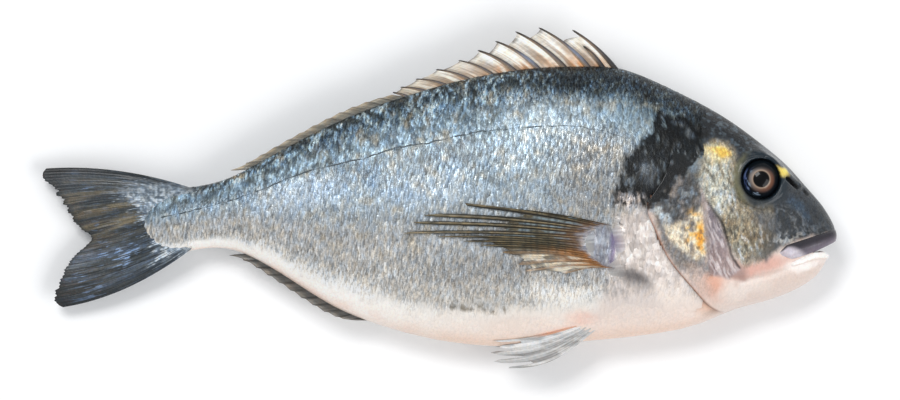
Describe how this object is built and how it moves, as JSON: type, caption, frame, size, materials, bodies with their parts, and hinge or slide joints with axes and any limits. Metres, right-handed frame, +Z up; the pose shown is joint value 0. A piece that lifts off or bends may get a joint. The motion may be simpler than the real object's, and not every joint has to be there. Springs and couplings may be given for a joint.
{
  "type": "whole raw fish",
  "caption": "Whole raw gilthead sea bream lying on its side, deep oval body with scales, spiny back fin, forked tail and slightly open mouth.",
  "frame": {"origin": "on the small flat of the lower flank, where the fish lies, close to its centre of mass", "axes": "+X towards the snout, +Y towards the back with the spiny fin, +Z up out of the right flank"},
  "size_m": [0.3112, 0.1331, 0.04],
  "materials": {
    "skin": "wet silvery scales",
    "eye": "wet and glossy"
  },
  "bodies": {
    "root": {"fish": "skin", "eye_right": "eye", "eye_left": "eye"}
  },
  "joints": []
}
